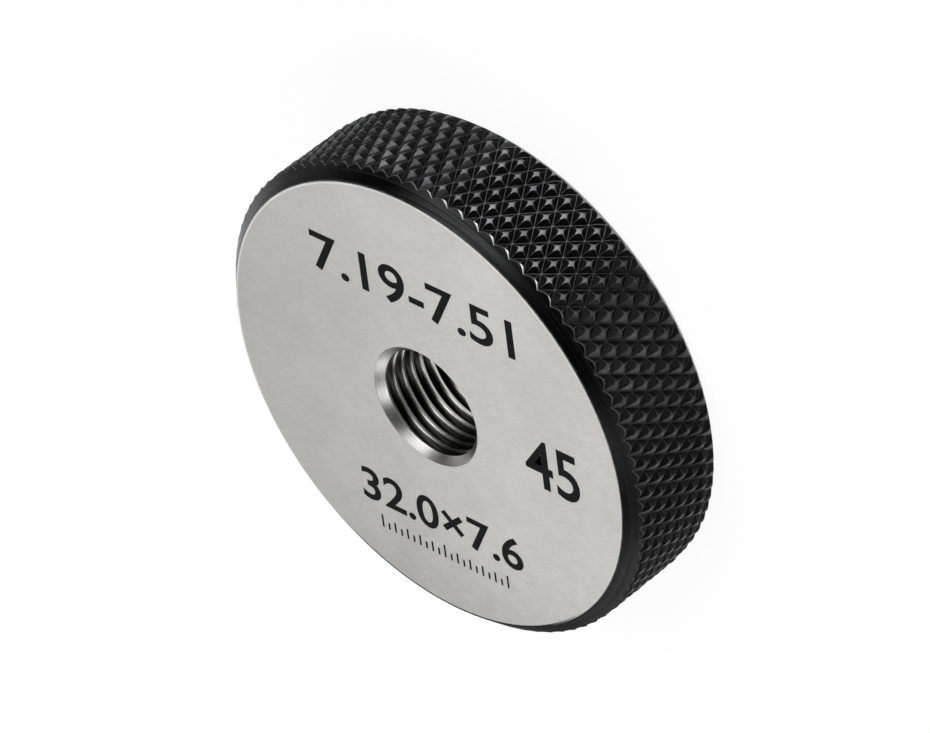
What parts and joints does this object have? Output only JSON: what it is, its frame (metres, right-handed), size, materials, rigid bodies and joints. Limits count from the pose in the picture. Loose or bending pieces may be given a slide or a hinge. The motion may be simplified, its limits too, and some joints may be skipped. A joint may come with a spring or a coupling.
{
  "type": "thread ring gauge",
  "caption": "Solid round thread gauge: a flat ground steel disc with a threaded centre hole, bevelled corners and a diamond-knurled rim.",
  "frame": {"origin": "centre of the back face, on the axis of the threaded hole", "axes": "+Z along the hole, out of the marked face; +X along the reading direction of the marking; +Y up the marking"},
  "size_m": [0.032, 0.032, 0.0076],
  "materials": {
    "gauge_steel": "hardened tool steel: faces and thread ground bright, corners and knurled rim chemically blackened"
  },
  "bodies": {
    "root": {"ring_gauge": "gauge_steel"}
  },
  "joints": []
}
